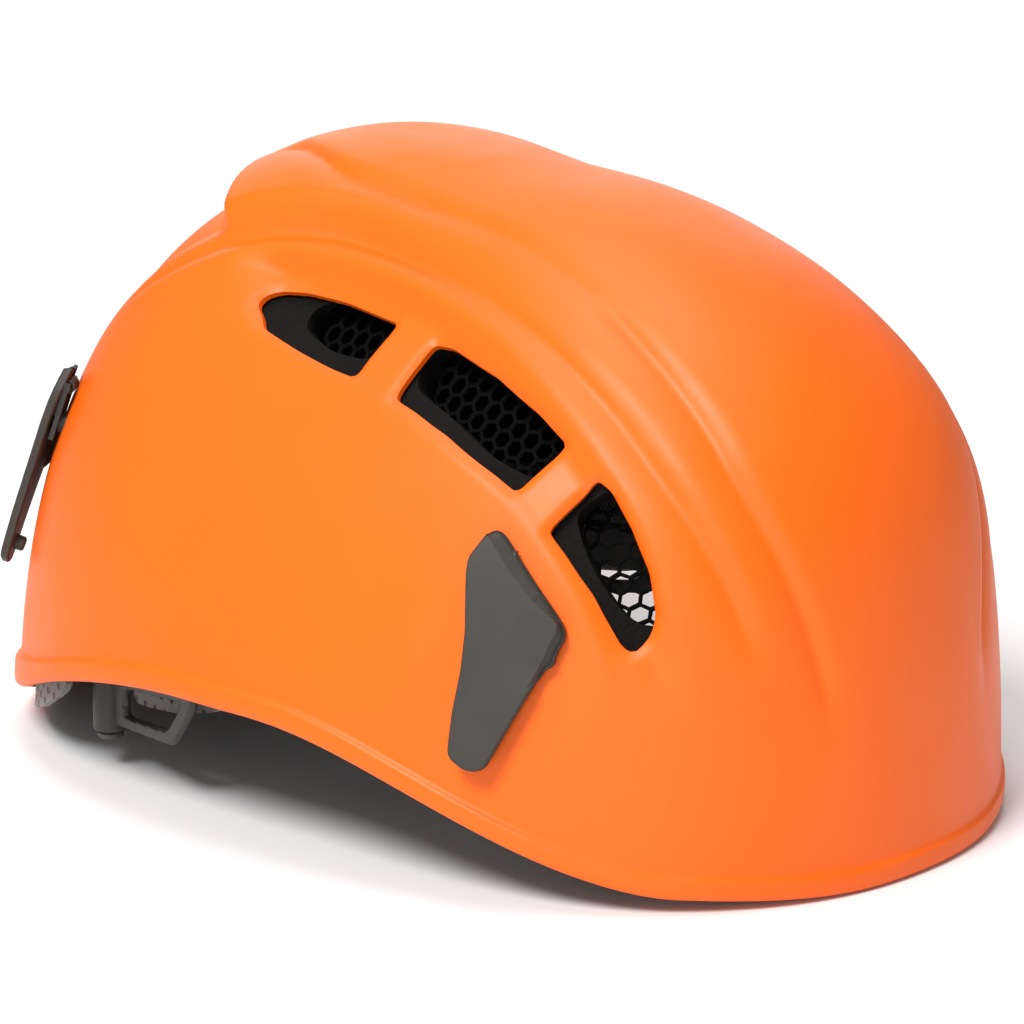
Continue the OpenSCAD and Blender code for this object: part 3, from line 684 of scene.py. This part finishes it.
def make_net():
    """A net of rounded hexagonal meshes whose cords are thicker in the middle than at their edges."""
    length = sum(math.dist(a, b) for a, b in zip(NET_PATH, NET_PATH[1:]))
    corner = [(math.sin(math.radians(60 * k)), math.cos(math.radians(60 * k))) for k in range(6)]
    side = NET_PITCH / math.sqrt(3)
    index, flat, lift, faces = {}, [], [], []

    def vertex(s, w, up):
        key = (round(s, 2), round(w, 2))
        if key not in index:
            index[key] = len(flat)
            flat.append((s, w))
            lift.append(up)
        return index[key]

    hole = 1 - NET_CORD / NET_PITCH
    rows = int(NET_HALF / (1.5 * side)) + 1
    for row in range(-rows, rows + 1):
        for column in range(int(length / NET_PITCH) + 1):
            s0, w0 = (column + 0.5 * (row % 2)) * NET_PITCH, row * 1.5 * side
            ring = [vertex(s0 + side * a, w0 + side * b, 1.0) for a, b in corner]
            inner = [vertex(s0 + side * hole * a * HEX_LONG, w0 + side * hole * b * HEX_TALL, 0.0)
                     for a, b in corner]
            for k in range(6):
                n = (k + 1) % 6
                faces.append((ring[k], inner[k], inner[n], ring[n]))
    flat = np.array(flat)
    target = along_path(NET_PATH, flat[:, 0], flat[:, 1] * NET_SQUEEZE)
    guess_t = t_at_z(np.full(len(flat), -70.0), target[:, 1] + 8)
    guess_th = -90 + np.degrees(np.arctan2(target[:, 0], 75))
    th, t = to_side_view(lambda a, b: plain(a, b, -NET_DEPTH + 0 * a), guess_th, guess_t, target)
    half = NET_T * (0.25 + 0.25 * np.array(lift))
    return solid(plain(th, t, -NET_DEPTH + half), plain(th, t, -NET_DEPTH - half), faces)


# ---------------------------------------------------------------- strap guides, arms and ribbons
GUIDE_AXIS, GUIDE_TURN, GUIDE_T = (-64, -82.5), -15.5, 2.6
GUIDE_OUTLINE = [(2, 12.5), (34.5, 15.5), (44.5, 28), (45, 32.5), (2, 26.4)]
GUIDE_WINDOW = [(9.5, 16.6), (31.5, 19), (39.5, 28.6), (9.5, 23.8)]


def strap_guide():
    """A sleeve on the headband's pin with an open frame that the rear webbing runs through."""
    window = rounded(GUIDE_WINDOW, 2.2)
    bar = plate(rounded(GUIDE_OUTLINE, 3.0), GUIDE_T, 1.1, [window], low=-GUIDE_T / 2)
    bar = placed(bar, (0, 0, 0), turn("Z", GUIDE_TURN) @ turn("X", 90))
    sleeve = tube(2.55, 4.5, 10.5, 26.5, 0.8)
    return placed(joined(bar, sleeve), (*GUIDE_AXIS, 0))


def block(low, high, radius, corner):
    """A box with rounded edges."""
    (x0, y0, z0), (x1, y1, z1) = low, high
    outline = rounded([(x0, y0), (x1, y0), (x1, y1), (x0, y1)], corner, 4)
    pitch = max(0.5, min(x1 - x0, y1 - y0) / 10)
    return plate(outline, z1 - z0, radius, pitch=pitch, low=z0)


def headband_arm():
    """An arm of the headband with the pin and lug that its strap guide turns on."""
    strip = dome_strip([(-156, 17, 28), (-135, 22, 36), (-115, 29, 42), (-86, 31, 43)], 23.5, 25.1)
    pin = lathe([(CENTRE, 8.6), (3.1, 8.6), (3.4, 8.9), (3.4, 9.8), (3.1, 10.1), (2.5, 10.1),
                 (2.5, 32.0), (2.0, 32.6), (CENTRE, 32.6)])
    lug = placed(block((-4, -2.5, 27), (4, 11.5, 33), 0.8, 1.5), (0, 0, 0), turn("Z", 35))
    return joined(strip, placed(joined(pin, lug), (*GUIDE_AXIS, 0)))


def ribbon(path, outward, across, half_width, thickness, crown=0.0, columns=8):
    """A strap or pad along a path, with its inner face swollen by a crown."""
    path, outward = np.array(path), np.array(outward)
    v = np.linspace(-1, 1, columns + 1)
    u = np.linspace(-1, 1, len(path))
    grid = path[:, None, :] + np.array(across)[None, None, :] * (half_width * v)[None, :, None]
    swell = ((1 - u[:, None] ** 8) * (1 - v[None, :] ** 4)) ** 0.5
    depth = thickness * (1 - crown + crown * swell)
    inner = grid - outward[:, None, :] * depth[..., None]
    faces = sheet_faces(len(path), columns + 1).tolist()
    return solid(grid.reshape(-1, 3), inner.reshape(-1, 3), faces)


ARCH_STEPS = 40


def arch_path(plan_angle, low, high, depth):
    """A path up the dome at one plan angle, at a depth under it, with its outward directions."""
    t = np.linspace(low, high, ARCH_STEPS)
    th = np.full(ARCH_STEPS, float(plan_angle))
    return plain(th, t, np.full(ARCH_STEPS, -float(depth))), dome_normal(th, t)


def chin_strap():
    low = float(t_at_z(np.array(-90.0), np.array(69.0)))
    path, outward = arch_path(-90, low, 66.1, 23)
    path[:, 0] = MID_X
    return ribbon(path, outward, (1, 0, 0), 9, 1.4)


def crown_pad_centre():
    """The cushion along the middle plane, from the front over the crown to the rear."""
    near_top, depth = 89.6, 17.4
    front, out_front = arch_path(0, 56, near_top, depth)
    rear, out_rear = arch_path(180, near_top, 58, depth)
    path, outward = np.concatenate([front, rear]), np.concatenate([out_front, out_rear])
    path[:, 1] = 0
    return ribbon(path, outward, (0, 1, 0), 13, 4.0, 0.55, 14)


def nape_pad():
    """The cushion on the dial cover: flat behind, and swollen towards the neck."""
    rows, columns = 30, 22
    half_w, half_h, middle = 30, 14, 26
    y, z = np.meshgrid(np.linspace(-half_w, half_w, rows + 1),
                       np.linspace(middle - half_h, middle + half_h, columns + 1), indexing="ij")
    swell = ((1 - (y / half_w) ** 6) * (1 - ((z - middle) / half_h) ** 6)) ** 0.5
    back = np.stack([np.full_like(y, -105.0), y, z], -1).reshape(-1, 3)
    depth = 1.2 + (5.3 - 0.0045 * y ** 2) * swell
    front = back + np.stack([depth.reshape(-1), 0 * back[:, 0], 0 * back[:, 0]], -1)
    return solid(front, back, sheet_faces(rows + 1, columns + 1).tolist())


# ---------------------------------------------------------------- materials
def add(tree, kind, inputs=None, **settings):
    """A new shader node, with each input set to a number or linked to another node's output."""
    made = tree.nodes.new("ShaderNode" + kind)
    for name, value in settings.items():
        setattr(made, name, value)
    for key, value in (inputs or {}).items():
        if isinstance(value, bpy.types.NodeSocket):
            tree.links.new(value, made.inputs[key])
        else:
            made.inputs[key].default_value = value
    return made


def math_node(tree, operation, *values):
    return add(tree, "Math", dict(enumerate(values)), operation=operation).outputs[0]


def noise(tree, place, scale, detail, roughness=0.5):
    settings = {"Vector": place, "Scale": scale, "Detail": detail, "Roughness": roughness}
    return add(tree, "TexNoise", settings).outputs["Fac"]


def ramp(tree, value, *stops):
    """Colours at positions of a value; a single number gives a grey."""
    made = add(tree, "ValToRGB", {"Fac": value})
    band = made.color_ramp.elements
    while len(band) < len(stops):
        band.new(0.5)
    for element, (at, colour) in zip(band, stops):
        element.position = at
        element.color = (*colour, 1) if isinstance(colour, tuple) else (colour, colour, colour, 1)
    return made.outputs["Color"]


def bump(tree, shader, height, depth, strength, under=None):
    """Relief from a height, over the relief under it."""
    inputs = {"Height": height, "Distance": depth, "Strength": strength}
    if under is not None:
        inputs["Normal"] = under
    made = add(tree, "Bump", inputs)
    tree.links.new(made.outputs["Normal"], shader.inputs["Normal"])
    return made.outputs["Normal"]


def start(name, roughness, specular, **more):
    """A new material with its uniform numbers set on the shader. Returns its tree, shader and the
    piece's own coordinates in metres."""
    made = bpy.data.materials.new(name)
    made.use_nodes = True
    tree = made.node_tree
    shader = tree.nodes["Principled BSDF"]
    shader.inputs["Roughness"].default_value = roughness
    shader.inputs["Specular IOR Level"].default_value = specular
    for key, value in more.items():
        shader.inputs[key.replace("_", " ")].default_value = value
    place = add(tree, "TexCoord").outputs["Object"]
    return made, tree, shader, place


def paint(tree, shader, colour):
    tree.links.new(colour, shader.inputs["Base Color"])


def shell_plastic():
    """Dyed moulded plastic: satin, over a fine orange-peel, with faint flow marks."""
    made, tree, shader, place = start("shell_plastic", 0.47, 0.38)
    flow = noise(tree, place, 14, 3)
    paint(tree, shader, ramp(tree, flow, (0.3, (0.90, 0.126, 0.0008)), (0.7, (0.93, 0.134, 0.0014))))
    grain = noise(tree, place, 3200, 2)
    peel = noise(tree, place, 420, 2)
    dull = noise(tree, place, 60, 4)
    rough = ramp(tree, dull, (0.3, 0.43), (0.75, 0.52))
    tree.links.new(rough, shader.inputs["Roughness"])
    first = bump(tree, shader, peel, 0.00009, 0.5)
    bump(tree, shader, grain, 0.00003, 0.6, first)
    return made


def moulded(name, dark, light, roughness, scale, depth):
    """Dyed plastic with a fine spark-eroded grain."""
    made, tree, shader, place = start(name, roughness, 0.4)
    patch = noise(tree, place, 55, 3)
    paint(tree, shader, ramp(tree, patch, (0.3, dark), (0.7, light)))
    grain = noise(tree, place, scale, 3, 0.6)
    rough = ramp(tree, grain, (0.3, roughness - 0.06), (0.7, roughness + 0.1))
    tree.links.new(rough, shader.inputs["Roughness"])
    bump(tree, shader, grain, depth, 0.8)
    return made


def foam():
    """Expanded foam: beads pressed together, with fine pits between them."""
    made, tree, shader, place = start("liner_foam", 0.85, 0.12)
    bead = add(tree, "TexVoronoi", {"Vector": place, "Scale": 330.0}, feature="DISTANCE_TO_EDGE")
    shade = noise(tree, place, 90, 3)
    paint(tree, shader, ramp(tree, shade, (0.3, (0.004, 0.0039, 0.0035)), (0.7, (0.007, 0.0068, 0.006))))
    edge = math_node(tree, "MINIMUM", bead.outputs["Distance"], 0.22)
    first = bump(tree, shader, edge, 0.0009, 0.8)
    bump(tree, shader, noise(tree, place, 2200, 2), 0.00008, 0.7, first)
    return made


HEAD_R, ARCH_R = 0.095, 0.13  # in metres, to turn an angle into a distance


def xyz(tree, place):
    return add(tree, "SeparateXYZ", {"Vector": place}).outputs


def round_coordinates(tree, place):
    """Distance round the head, and height, in metres."""
    axes = xyz(tree, place)
    angle = math_node(tree, "ARCTAN2", axes["Y"], axes["X"])
    return math_node(tree, "MULTIPLY", angle, HEAD_R), axes["Z"]


def side_coordinates(tree, place):
    axes = xyz(tree, place)
    return axes["X"], axes["Z"]


def top_coordinates(tree, place):
    axes = xyz(tree, place)
    return axes["X"], axes["Y"]


def arch_coordinates(tree, place):
    """Across the helmet's middle, and round its long axis."""
    axes = xyz(tree, place)
    angle = math_node(tree, "ARCTAN2", axes["Y"], axes["Z"])
    return axes["X"], math_node(tree, "MULTIPLY", angle, ARCH_R)


SQRT_3 = 1.732


def dots(tree, u, v, pitch, radius):
    """1 on a staggered grid of dots, falling to 0 over a soft edge."""
    nearest = None
    for shift in (0.0, 0.5):
        parts = []
        for axis, step in ((u, pitch), (v, pitch * SQRT_3)):
            turns = math_node(tree, "ADD", math_node(tree, "DIVIDE", axis, step), shift)
            off = math_node(tree, "SUBTRACT", math_node(tree, "FRACT", turns), 0.5)
            parts.append(math_node(tree, "POWER", math_node(tree, "MULTIPLY", off, step), 2.0))
        gap = math_node(tree, "SQRT", math_node(tree, "ADD", *parts))
        nearest = gap if nearest is None else math_node(tree, "MINIMUM", nearest, gap)
    made = add(tree, "MapRange", {"Value": nearest, "From Min": radius * 0.75, "From Max": radius * 1.2,
                                  "To Min": 1.0, "To Max": 0.0})
    return made.outputs["Result"]


def pad_fabric(name, coordinates):
    """Brushed grey knit over soft foam, punched with rows of small holes, each filled with painted shade."""
    made, tree, shader, place = start(name, 0.9, 0.2, Sheen_Weight=0.35, Sheen_Roughness=0.5)
    u, v = coordinates(tree, place)
    holes = dots(tree, u, v, 0.0042, 0.0008)
    fuzz = noise(tree, place, 1500, 3, 0.7)
    knit = ramp(tree, fuzz, (0.3, (0.085, 0.080, 0.070)), (0.7, (0.150, 0.142, 0.124)))
    # the holes' near-black colour is painted shade inside each hole
    knit_and_hole_shade = add(tree, "MixRGB", {"Fac": holes, "Color1": knit, "Color2": (0.012, 0.011, 0.01, 1)})
    paint(tree, shader, knit_and_hole_shade.outputs["Color"])
    sunk = math_node(tree, "SUBTRACT", 1.0, holes)
    first = bump(tree, shader, sunk, 0.0009, 0.9)
    bump(tree, shader, fuzz, 0.00025, 0.8, first)
    return made


def woven(name, coordinates, pitch, dark, light):
    """Flat woven webbing: rows of floats that cross over and under, with painted shade in their hollows."""
    made, tree, shader, place = start(name, 0.72, 0.3, Sheen_Weight=0.2)
    u, v = coordinates(tree, place)
    across = math_node(tree, "SINE", math_node(tree, "MULTIPLY", u, 2 * math.pi / pitch))
    along = math_node(tree, "SINE", math_node(tree, "MULTIPLY", v, 2 * math.pi / (pitch * 1.4)))
    height = math_node(tree, "MULTIPLY_ADD", math_node(tree, "MULTIPLY", across, along), 0.5, 0.5)
    fibre = noise(tree, place, 2600, 2, 0.6)
    # colour follows the weave's height: painted shade in the hollows, painted light on the floats' tops
    paint(tree, shader, ramp(tree, height, (0.2, dark), (0.8, light)))
    first = bump(tree, shader, height, 0.00035, 0.9)
    bump(tree, shader, fibre, 0.00008, 0.6, first)
    return made


def knitted_net():
    """Black knitted yarn on the net's cords, with the shade under the shell painted into its colour."""
    made, tree, shader, place = start("vent_mesh", 0.75, 0.08)
    strand = add(tree, "TexWave", {"Vector": place, "Scale": 620.0, "Distortion": 2.0},
                 wave_type="BANDS", bands_direction="DIAGONAL")
    # near-black: black yarn with painted shade from the shell over it, and painted shade in the strand
    # grooves
    paint(tree, shader, ramp(tree, strand.outputs["Fac"], (0.2, (0.002, 0.002, 0.0019)),
                             (0.8, (0.006, 0.0059, 0.0055))))
    first = bump(tree, shader, strand.outputs["Fac"], 0.00025, 0.9)
    bump(tree, shader, noise(tree, place, 3000, 2), 0.00006, 0.6, first)
    return made


def floor_material():
    made, tree, shader, place = start("studio_floor", 0.9, 0.1)
    tint = noise(tree, place, 3, 2)
    paint(tree, shader, ramp(tree, tint, (0.3, 0.84), (0.7, 0.86)))
    return made


# the webbing's colours: painted shade in the weave's hollows and painted light on its floats
WEB_PITCH, WEB_HOLLOW_SHADE, WEB_FLOAT_LIT = 0.0018, (0.010, 0.010, 0.0095), (0.03, 0.029, 0.027)
MATERIALS = {
    "shell": shell_plastic(),
    "foam": foam(),
    "net": knitted_net(),
    "clip": moulded("clip_plastic", (0.031, 0.029, 0.024), (0.040, 0.036, 0.030), 0.55, 2600, 0.00008),
    "guide": moulded("guide_plastic", (0.030, 0.029, 0.026), (0.040, 0.038, 0.034), 0.48, 2200, 0.00005),
    "band": moulded("band_plastic", (0.055, 0.052, 0.046), (0.068, 0.064, 0.057), 0.5, 1800, 0.00005),
    "fitting": moulded("fitting_plastic", (0.020, 0.0195, 0.018), (0.028, 0.027, 0.025), 0.45, 2200,
                       0.00005),
    "pad": pad_fabric("pad_fabric_side", round_coordinates),
    "crown_pad": pad_fabric("pad_fabric_top", top_coordinates),
    "web": woven("webbing_side", side_coordinates, WEB_PITCH, WEB_HOLLOW_SHADE, WEB_FLOAT_LIT),
    "chin_web": woven("webbing_arch", arch_coordinates, WEB_PITCH, WEB_HOLLOW_SHADE, WEB_FLOAT_LIT),
}


# ---------------------------------------------------------------- putting the pieces in place
BODY_OF = {node: body for body, nodes in frame["record"]["behaviour"]["bodies"].items() for node in nodes}
SLOT_OF = {s["node"]: s["material_slot"] for s in frame["record"]["subparts"]}


def settle(obj, node, look):
    """Gives a piece its material, body and slot, and lets it stand for its CAD node."""
    obj.data.materials.clear()
    obj.data.materials.append(MATERIALS[look])
    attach(obj, BODY_OF[node])
    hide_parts(node)
    return obj


def place_pair(stem, part, look, sharp=SHARP):
    """The same piece on the wearer's right, as drawn, and mirrored to the left."""
    for side in SIDES:
        node = f"{stem}_{side}"
        obj = settle(build(node + "_piece", *part, sharp=sharp, mirrored=side == "left"), node, look)


def place_shell_and_liner():
    settle(build("shell_skin", *make_shell(), sharp=40), "shell", "shell")
    settle(build("liner_foam_body", *make_liner(), sharp=45), "foam_liner", "foam")
    place_pair("vent_mesh", make_net(), "net", sharp=80)


def place_clips():
    part = clip_part()
    for end, where in CLIPS.items():
        place_pair(f"{end}_clip", in_clip_plane(part, *where), "clip", sharp=25)


def place_strips():
    front = dome_strip([(-97, 30, 44), (-60, 30, 46), (0, 22, 46), (60, 30, 46), (97, 30, 44)],
                       21.5, 23.1, 120, 8)
    settle(build("headband_strip", *front), "headband_front", "band")
    place_pair("headband_arm", headband_arm(), "band")
    strap = dome_strip([(-172, 44, 84), (-166, 44, 84)], 18, 19.4, 6, 20)
    both = joined(strap, (strap[0] * [1, -1, 1], [tuple(reversed(f)) for f in strap[1]]))
    settle(build("height_strap_pair", *both), "height_straps", "fitting")
    place_pair("strap_guide", strap_guide(), "guide")


def place_pads():
    brow = dome_strip([(-62, 31, 45), (-40, 25, 48), (0, 22, 50), (40, 25, 48), (62, 31, 45)],
                      23.5, 30.1, 90, 16, 0.75, 0.65)
    settle(build("brow_cushion", *brow), "brow_pad", "pad")
    settle(build("nape_cushion", *nape_pad()), "nape_pad", "pad")
    centre = build("crown_cushion_centre", *crown_pad_centre())
    settle(centre, "crown_pad_centre", "crown_pad")
    rear = dome_strip([(-162, 0.8, 16), (-150, 2.2, 22), (-140, 5.5, 28), (-130, 12, 33), (-121, 21, 36)],
                      4.0, 8.0, 40, 16, 0.75, 0.6)
    side = dome_strip([(-115, 22, 50), (-105, 25, 52), (-97, 30, 52)], 17.2, 21.0, 24, 20, 0.75, 0.6)
    crown = dome_strip([(-140, 141, 150), (-110, 144, 152), (-70, 144, 152), (-42, 141, 150)],
                       15.4, 19.4, 40, 10, 0.8, 0.5)
    place_pair("rear_pad", rear, "pad")
    place_pair("side_pad", side, "pad")
    place_pair("crown_pad", crown, "crown_pad")


def place_webbing():
    depths = 27, 28.4
    front = dome_strip([(-81.5, 50, 62), (-63.5, 51, 63)], *depths, 24, 8)
    rear = dome_strip([(-124.5, 51, 63), (-98.5, 50, 62)], *depths, 30, 8)
    place_pair("strap_front", front, "web")
    place_pair("strap_rear", rear, "web")
    place_pair("chin_strap", chin_strap(), "chin_web")


def place_fittings():
    """The small hard parts, which nothing stands for yet, keep their CAD shape with rounded edges."""
    edge_width = {"dial_knob": 0.7, "dial_housing": 0.8, "dial_cover": 0.4, "buckle_socket": 0.6,
                  "buckle_plug": 0.5, "buckle_button": 0.4, "strap_divider_right": 0.6,
                  "strap_divider_left": 0.6}
    shown = {n for n, o in frame["nodes"].items() if not o.hide_render}
    look = {"clip_plastic": "clip", "guide_plastic": "guide", "band_plastic": "band",
            "fitting_plastic": "fitting"}
    for node in sorted(shown):
        settle(refined(node, edge_width.get(node, 0.2)), node, look[SLOT_OF[node]])


# ---------------------------------------------------------------- camera, light and floor
def make_camera():
    target = np.array([3.0, 0.0, 67.0]) * MM
    yaw, pitch, roll = (math.radians(angle) for angle in (41.11, 15.72, 0.72))
    distance = 1.2
    back = np.array([math.sin(yaw) * math.cos(pitch), -math.cos(yaw) * math.cos(pitch),
                     math.sin(pitch)])
    data = bpy.data.cameras.new("camera")
    data.lens, data.sensor_width = 163.8, 36.0
    data.shift_x, data.shift_y = -0.0087, -0.0088
    data.clip_start, data.clip_end = 0.05, 20
    camera = bpy.data.objects.new("camera", data)
    camera.location = target + back * distance
    camera.rotation_mode = "QUATERNION"
    level = Vector(-back).to_track_quat("-Z", "Y")
    camera.rotation_quaternion = level @ Quaternion((0, 0, 1), roll)
    bpy.context.scene.collection.objects.link(camera)
    bpy.context.scene.camera = camera


LIGHTS_AIM = (0, 0, 0.07)  # in metres
FLOOR_HALF, FLOOR_Z = 4000, -0.3


def soft_light(name, place, size, power):
    """A white disc of light, of a size and place in metres, that faces the helmet."""
    data = bpy.data.lights.new(name, "AREA")
    data.shape, data.size, data.energy, data.color = "DISK", size, power, (1, 1, 1)
    obj = bpy.data.objects.new(name, data)
    obj.location = place
    obj.rotation_mode = "QUATERNION"
    obj.rotation_quaternion = (Vector(LIGHTS_AIM) - Vector(place)).to_track_quat("-Z", "Y")
    bpy.context.scene.collection.objects.link(obj)


def make_studio():
    world = bpy.data.worlds.new("studio")
    world.use_nodes = True
    background = world.node_tree.nodes["Background"]
    background.inputs["Color"].default_value = (1, 1, 1, 1)
    background.inputs["Strength"].default_value = 0.3
    bpy.context.scene.world = world
    bpy.context.scene.view_settings.view_transform = "Standard"
    soft_light("key", (0.2, -1.15, 1.4), 0.7, 32)
    soft_light("top", (-0.1, 0.1, 1.8), 1.0, 12)
    soft_light("back", (-0.92, 1.05, 0.75), 1.5, 7)
    soft_light("low", (0.75, -1.3, 0.3), 0.6, 3)
    corners = [(x * FLOOR_HALF, y * FLOOR_HALF, FLOOR_Z) for x, y in ((-1, -1), (1, -1), (1, 1), (-1, 1))]
    floor = build("floor", corners, [(0, 1, 2, 3)])
    floor.data.materials.append(floor_material())


make_camera()
make_studio()
place_shell_and_liner()
place_clips()
place_strips()
place_pads()
place_webbing()
place_fittings()
